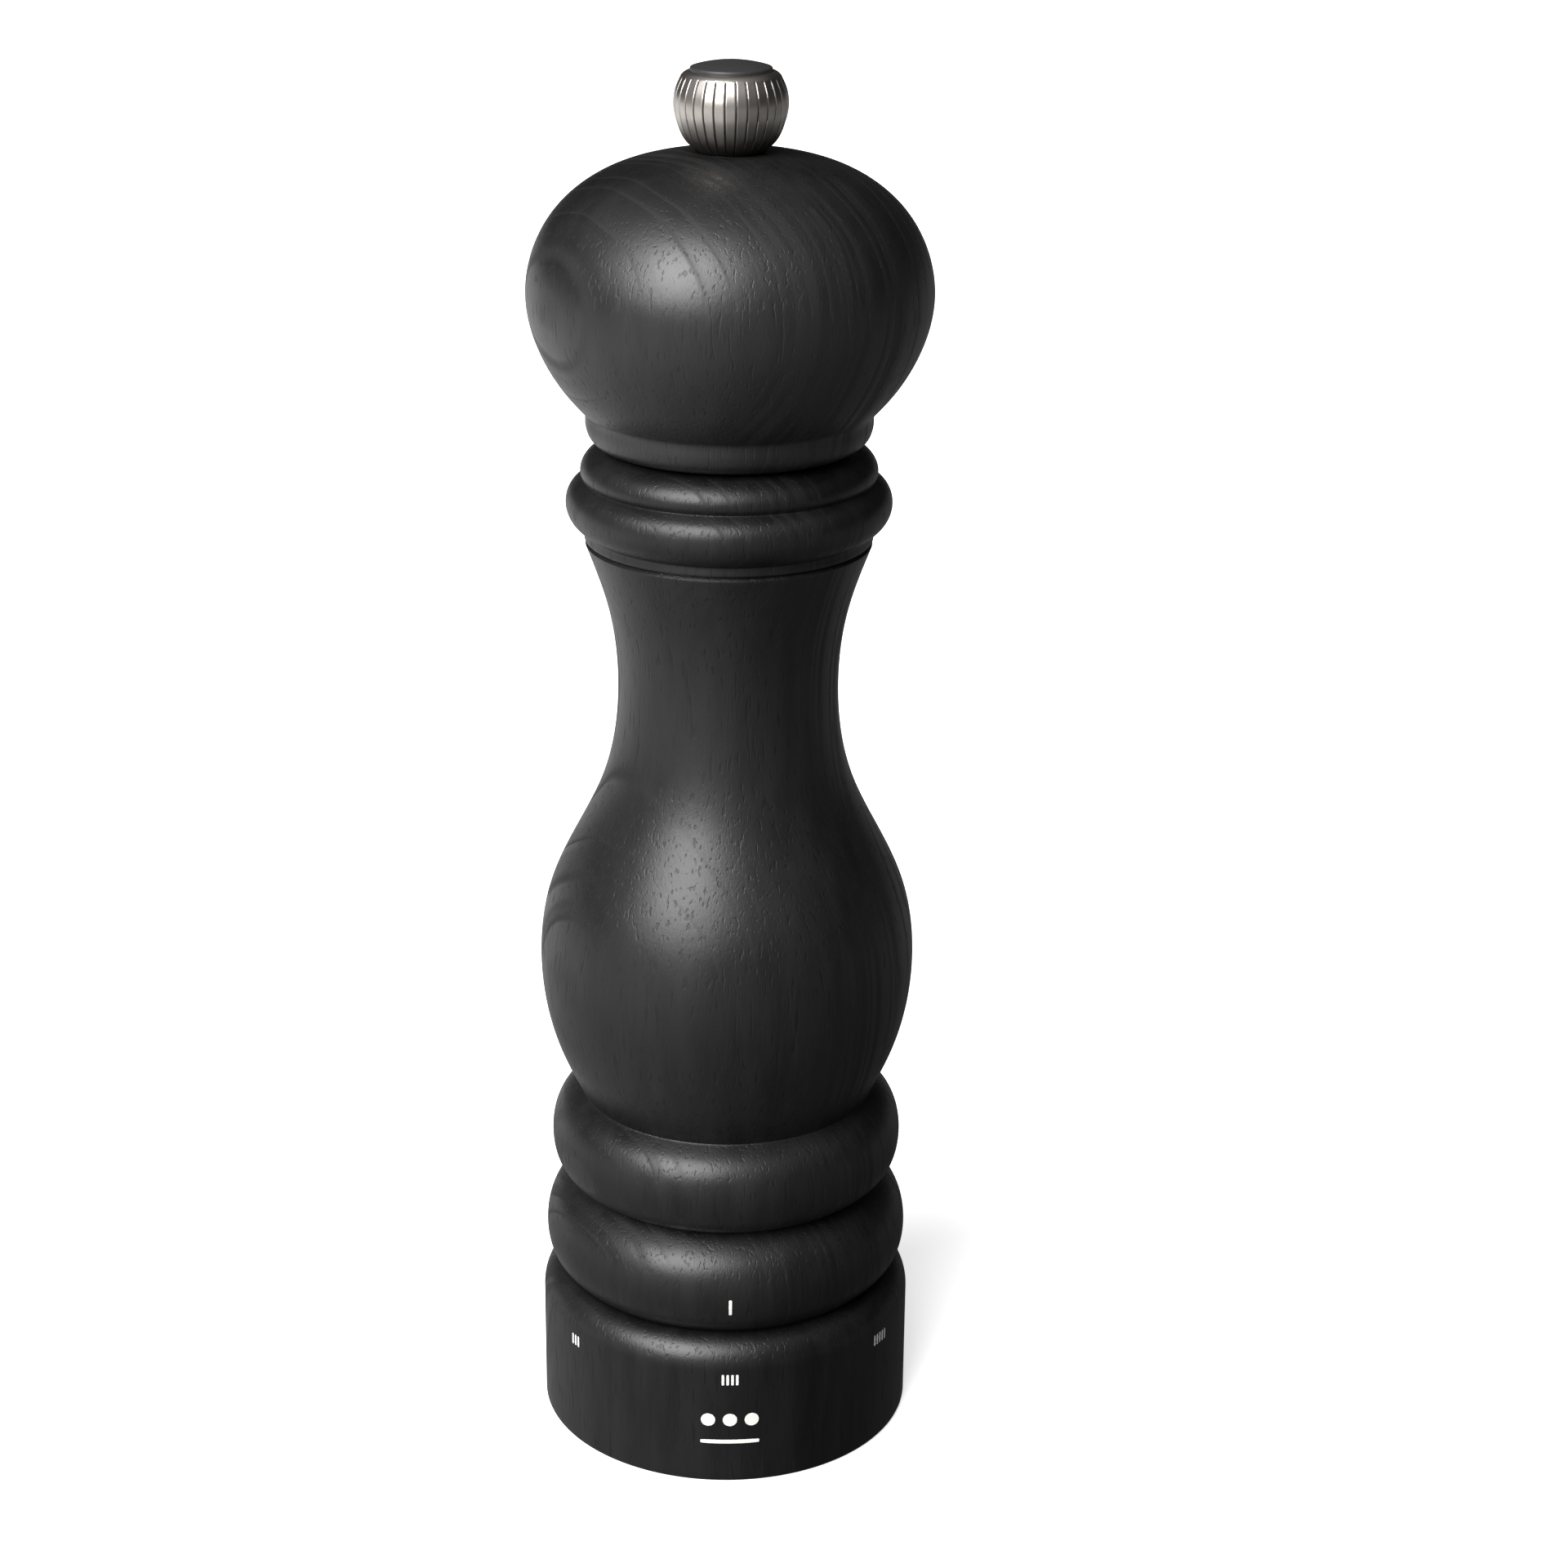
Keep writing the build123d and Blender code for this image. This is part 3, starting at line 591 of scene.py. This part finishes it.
# Radius of the outline's outer side at each height z, both in mm.
def outerRadius(line, z):
    r, zz = line.T
    start = int(np.argmax(r * (np.abs(zz - zz[np.argmin(zz)]) < 0.01)))
    order = np.roll(np.arange(len(r)), -start)
    end = int(np.argmax(zz[order]))
    side = order[: end + 1]
    return np.interp(z, zz[side], r[side])


# Ink laid on a turned surface, a hair off the wood. Each spot is (angle, low, width, height, squareness): a
# small grid drawn in to a superellipse, |u|^n + |v|^n = 1: n = 2 is a dot, n = 8 a bar with soft corners.
def printedSpots(name, line, spots):
    u = np.linspace(-1, 1, 13)
    v = np.linspace(-0.995, 0.995, 17)
    uu, vv = np.meshgrid(u, v)
    i, j = np.meshgrid(np.arange(len(v) - 1), np.arange(len(u) - 1), indexing="ij")
    corner = i * len(u) + j
    quads = np.stack([corner, corner + 1, corner + len(u) + 1, corner + len(u)], axis=-1).reshape(-1, 4)
    verts, faces = [], []
    for angle, low, width, height, squareness in spots:
        z = low + height * (vv + 1) / 2
        r = outerRadius(line, z) + marks["lift"]
        across = uu * (1 - np.abs(vv) ** squareness) ** (1 / squareness) * width / 2
        a = math.radians(angle) + across / r
        faces.append(quads + uu.size * len(verts))
        verts.append(np.stack([r * np.cos(a), r * np.sin(a), z], axis=-1).reshape(-1, 3) * mm)
    mesh = bpy.data.meshes.new(name)
    mesh.from_pydata(np.concatenate(verts).tolist(), [], np.concatenate(faces).tolist())
    mesh.update()
    mesh.polygons.foreach_set("use_smooth", np.ones(len(mesh.polygons), bool))
    piece = bpy.data.objects.new(name, mesh)
    bpy.context.scene.collection.objects.link(piece)
    return piece


ink = plainMaterial("printedInk", (0.62, 0.61, 0.58), 0.5, grain=(2500.0, 1.0), bump=0.1, vary=0.12)
ringRadius = baseRing["radius"]
pitchDeg = math.degrees((marks["barWidth"] + marks["barGap"]) / ringRadius)
bars = []
for setting in range(1, settingCount + 1):
    middle = marks["front"] + (setting - settingAtRest) * settingStepDeg
    for k in range(setting):
        angle = middle + (k - (setting - 1) / 2) * pitchDeg
        bars.append((angle, marks["barLow"], marks["barWidth"], marks["barHeight"], 8))
settingBars = printedSpots("settingBars", ringOutline, bars)
settingBars.data.materials.append(ink)
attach(settingBars, "adjuster")
indexBar = printedSpots("indexBar", bodyLine, [
    (marks["front"], marks["indexLow"], marks["indexWidth"], marks["indexHeight"], 8)])
indexBar.data.materials.append(ink)
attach(indexBar, "body")

# three peppercorns over a rule
dotDeg = math.degrees((marks["dotWidth"] + marks["dotGap"]) / ringRadius)
spots = []
for k in (-1, 0, 1):
    spots.append((marks["front"] + k * dotDeg, marks["dotLow"], marks["dotWidth"], marks["dotWidth"], 2))
spots.append((marks["front"], marks["ruleLow"], marks["ruleWidth"], marks["ruleHeight"], 8))
frontPrint = printedSpots("frontPrint", ringOutline, spots)
frontPrint.data.materials.append(ink)
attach(frontPrint, "adjuster")
print("setting marks made")


smallFinishes = {
    "drawnSteel": (plainMaterial("drawnSteel", (0.56, 0.56, 0.57), 0.26, 1.0, (1600.0, 0.05), 0.15),
                   ["spindle"]),
    "brightSteel": (plainMaterial("brightSteel", (0.6, 0.6, 0.61), 0.3, 1.0, (1400.0, 1.0), 0.1),
                    ["drive_plate", "drive_plate_screws", "housing_screws", "guide_plate_screws",
                     "spindle_clip", "grinder_nut", "crown_retainer", "adjuster_circlip"]),
    "springSteel": (plainMaterial("springSteel", (0.42, 0.42, 0.43), 0.32, 1.0, (1400.0, 1.0), 0.1),
                    ["spindle_spring"]),
    "hardenedSteel": (plainMaterial("hardenedSteel", (0.24, 0.24, 0.25), 0.42, 1.0, (900.0, 1.0), 0.3),
                      ["male_grinder", "female_crown"]),
    "blackedSteel": (plainMaterial("blackedSteel", (0.05, 0.05, 0.05), 0.45, 1.0, (1400.0, 1.0), 0.1),
                     ["knob_washer"]),
    "mouldedBlack": (plainMaterial("mouldedBlack", (0.025, 0.025, 0.026), 0.5, 0.0, (2200.0, 1.0), 0.25),
                     ["mechanism_housing", "adjuster_sleeve", "crown_carrier"]),
    "castZinc": (plainMaterial("castZinc", (0.45, 0.46, 0.47), 0.45, 1.0, (700.0, 1.0), 0.35),
                 ["guide_plate"]),
    "naturalNylon": (plainMaterial("naturalNylon", (0.7, 0.68, 0.62), 0.45, 0.0, (1500.0, 1.0), 0.1),
                     ["spindle_bush"]),
    "turnedBrass": (plainMaterial("turnedBrass", (0.72, 0.52, 0.22), 0.28, 1.0, (1500.0, 12.0), 0.15),
                    ["knob_insert"]),
}
for finish, nodeNames in smallFinishes.values():
    for nodeName in nodeNames:
        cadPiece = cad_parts[nodeName]
        cadPiece.data.materials.clear()
        cadPiece.data.materials.append(finish)
print("small parts finished")


studio = {
    "floorReach": 6.0,
    "floorColor": (0.88, 0.88, 0.88, 1),
    "floorGlow": 0.62,
    "bounceLeft": 0.85,
    "bounceRight": 0.15,
    "bounceNear": 0.60,
    "bounceFar": 1.6,
    "keyStrength": 7.6,
    "keySpreadDeg": 46.0,
    "keyAzimuthDeg": -37.0,
    "keyElevationDeg": 40.0,
    "worldBase": 0.0,
    "worldLean": (-0.16, -0.20, 0.36),
    "worldLowest": 0.02,
}

reach = studio["floorReach"]
floorCorners = [(-reach, -reach, 0), (reach, -reach, 0), (reach, reach, 0), (-reach, reach, 0)]
floorMesh = bpy.data.meshes.new("floor")
floorMesh.from_pydata(floorCorners, [], [(0, 1, 2, 3)])
floorMesh.update()
floor = bpy.data.objects.new("floor", floorMesh)
bpy.context.scene.collection.objects.link(floor)

# Seen by the camera, the floor is pale paper with a little light of its own. Seen in the mill's lacquer and
# as bounce light, it glows with painted light: brighter to the left than to the right, and brighter far off
# than under the mill, where the dimmer glow is a painted shadow of the mill.
floorMat, floorShader, floorNode, floorWire = material("paleFloor")
floorShader.inputs["Base Color"].default_value = studio["floorColor"]
floorShader.inputs["Roughness"].default_value = 0.9
floorShader.inputs["Specular IOR Level"].default_value = 0.1
floorShader.inputs["Emission Color"].default_value = (1, 1, 1, 1)
floorShader.inputs["Emission Strength"].default_value = studio["floorGlow"]
spot = floorNode("ShaderNodeTexCoord")
outward = floorNode("ShaderNodeVectorMath", operation="NORMALIZE")
floorWire(spot, "Object", outward, 0)
outwardX = floorNode("ShaderNodeSeparateXYZ")
floorWire(outward, "Vector", outwardX, "Vector")
side = floorNode("ShaderNodeMapRange", interpolation_type="SMOOTHSTEP", **{
    "From Min": -0.9, "From Max": 0.6, "To Min": studio["bounceLeft"], "To Max": studio["bounceRight"]})
floorWire(outwardX, "X", side, "Value")
away = floorNode("ShaderNodeVectorMath", operation="LENGTH")
floorWire(spot, "Object", away, 0)
# painted shadow: the glow dims close to the mill
near = floorNode("ShaderNodeMapRange", interpolation_type="SMOOTHSTEP", **{
    "From Min": 0.05, "From Max": 0.35, "To Min": studio["bounceNear"], "To Max": studio["bounceFar"]})
floorWire(away, "Value", near, "Value")
bounce = floorNode("ShaderNodeMath", operation="MULTIPLY")
floorWire(side, "Result", bounce, 0)
floorWire(near, "Result", bounce, 1)
bounceLight = floorNode("ShaderNodeEmission")
floorWire(bounce, "Value", bounceLight, "Strength")
ray = floorNode("ShaderNodeLightPath")
pick = floorNode("ShaderNodeMixShader")
floorWire(ray, "Is Camera Ray", pick, 0)
floorWire(bounceLight, "Emission", pick, 1)
floorWire(floorShader, "BSDF", pick, 2)
floorWire(pick, "Shader", floorMat.node_tree.nodes["Material Output"], "Surface")
floor.data.materials.append(floorMat)

# Dim room with light from the upper left and front: brightness = base + lean . direction, never quite black.
# The camera itself sees it white.
world = bpy.data.worlds.new("studio")
bpy.context.scene.world = world
world.use_nodes = True
tree = world.node_tree
background = tree.nodes["Background"]
coords = tree.nodes.new("ShaderNodeTexCoord")
lean = tree.nodes.new("ShaderNodeVectorMath")
lean.operation = "DOT_PRODUCT"
lean.inputs[1].default_value = studio["worldLean"]
level = tree.nodes.new("ShaderNodeMath")
level.operation = "ADD"
level.inputs[1].default_value = studio["worldBase"]
lowest = tree.nodes.new("ShaderNodeMath")
lowest.operation = "MAXIMUM"
lowest.inputs[1].default_value = studio["worldLowest"]
tree.links.new(coords.outputs["Generated"], lean.inputs[0])
tree.links.new(lean.outputs["Value"], level.inputs[0])
tree.links.new(level.outputs["Value"], lowest.inputs[0])
seen = tree.nodes.new("ShaderNodeLightPath")
shown = tree.nodes.new("ShaderNodeMath")
shown.operation = "MAXIMUM"
tree.links.new(lowest.outputs["Value"], shown.inputs[0])
tree.links.new(seen.outputs["Is Camera Ray"], shown.inputs[1])
tree.links.new(shown.outputs["Value"], background.inputs["Color"])

sun = bpy.data.lights.new("softbox", "SUN")
sun.energy = studio["keyStrength"]
sun.angle = math.radians(studio["keySpreadDeg"])
softbox = bpy.data.objects.new("softbox", sun)
bpy.context.scene.collection.objects.link(softbox)
softbox.rotation_euler = (
    math.radians(90 - studio["keyElevationDeg"]), 0, math.radians(studio["keyAzimuthDeg"]))

view = {
    "distance": 473.1,
    "height": 288.15,
    "pitchDeg": 20.5,
    "aroundDeg": 1.6,
    "rollDeg": -0.3,
    "focalOfWidth": 2.0423,
    "axisOffset": 0.0321,
    "rise": -0.0094,
}
camData = bpy.data.cameras.new("camera")
camera = bpy.data.objects.new("camera", camData)
bpy.context.scene.collection.objects.link(camera)
around = math.radians(view["aroundDeg"])
camera.location = (-view["distance"] * mm * math.sin(around), -view["distance"] * mm * math.cos(around),
                   view["height"] * mm)
camera.rotation_euler = (math.radians(90 - view["pitchDeg"]), math.radians(view["rollDeg"]), -around)
camData.sensor_width = 36.0
camData.lens = 36.0 * view["focalOfWidth"]
camData.shift_x = view["axisOffset"]
camData.shift_y = view["rise"]
camData.clip_start = 0.01
bpy.context.scene.camera = camera
bpy.context.scene.view_settings.view_transform = "Standard"
print("studio set")
